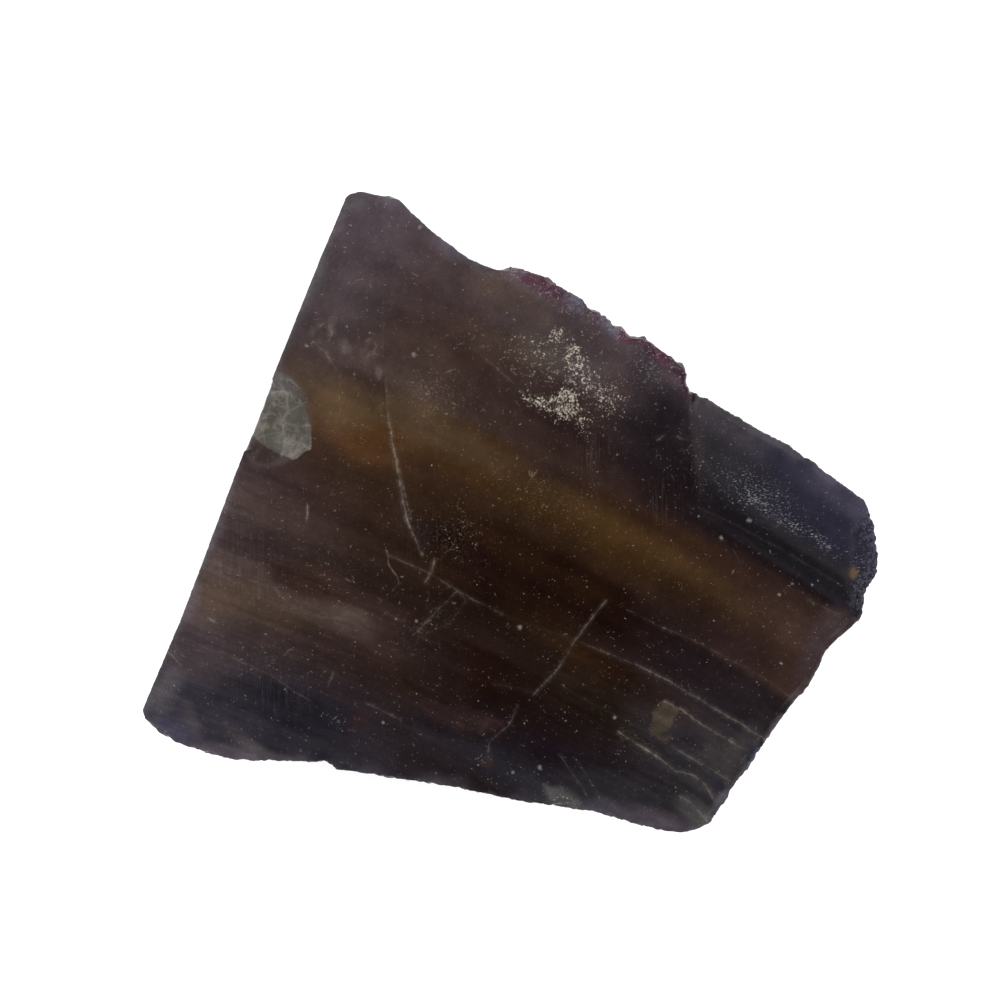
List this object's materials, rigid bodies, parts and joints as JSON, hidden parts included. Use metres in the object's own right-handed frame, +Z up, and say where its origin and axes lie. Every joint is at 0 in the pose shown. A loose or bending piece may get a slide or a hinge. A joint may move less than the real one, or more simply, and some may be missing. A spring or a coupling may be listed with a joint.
{
  "type": "raw banded fluorite",
  "caption": "Thick slab of dark banded fluorite with one broad sawn face, one straight sawn side, and rough broken and crystal-crusted sides.",
  "frame": {"origin": "centre of the bounding box, on the flat back that the stone rests on", "axes": "+Z up out of the large sawn face, +X along the longest side towards the blunt tip with the straight sawn side on -X, +Y towards the pointed apex"},
  "size_m": [0.0599, 0.0522, 0.018],
  "materials": {
    "fluorite": "dark translucent banded fluorite, sawn and unpolished, slightly dusty"
  },
  "bodies": {
    "root": {"fluorite_stone": "fluorite"}
  },
  "joints": []
}
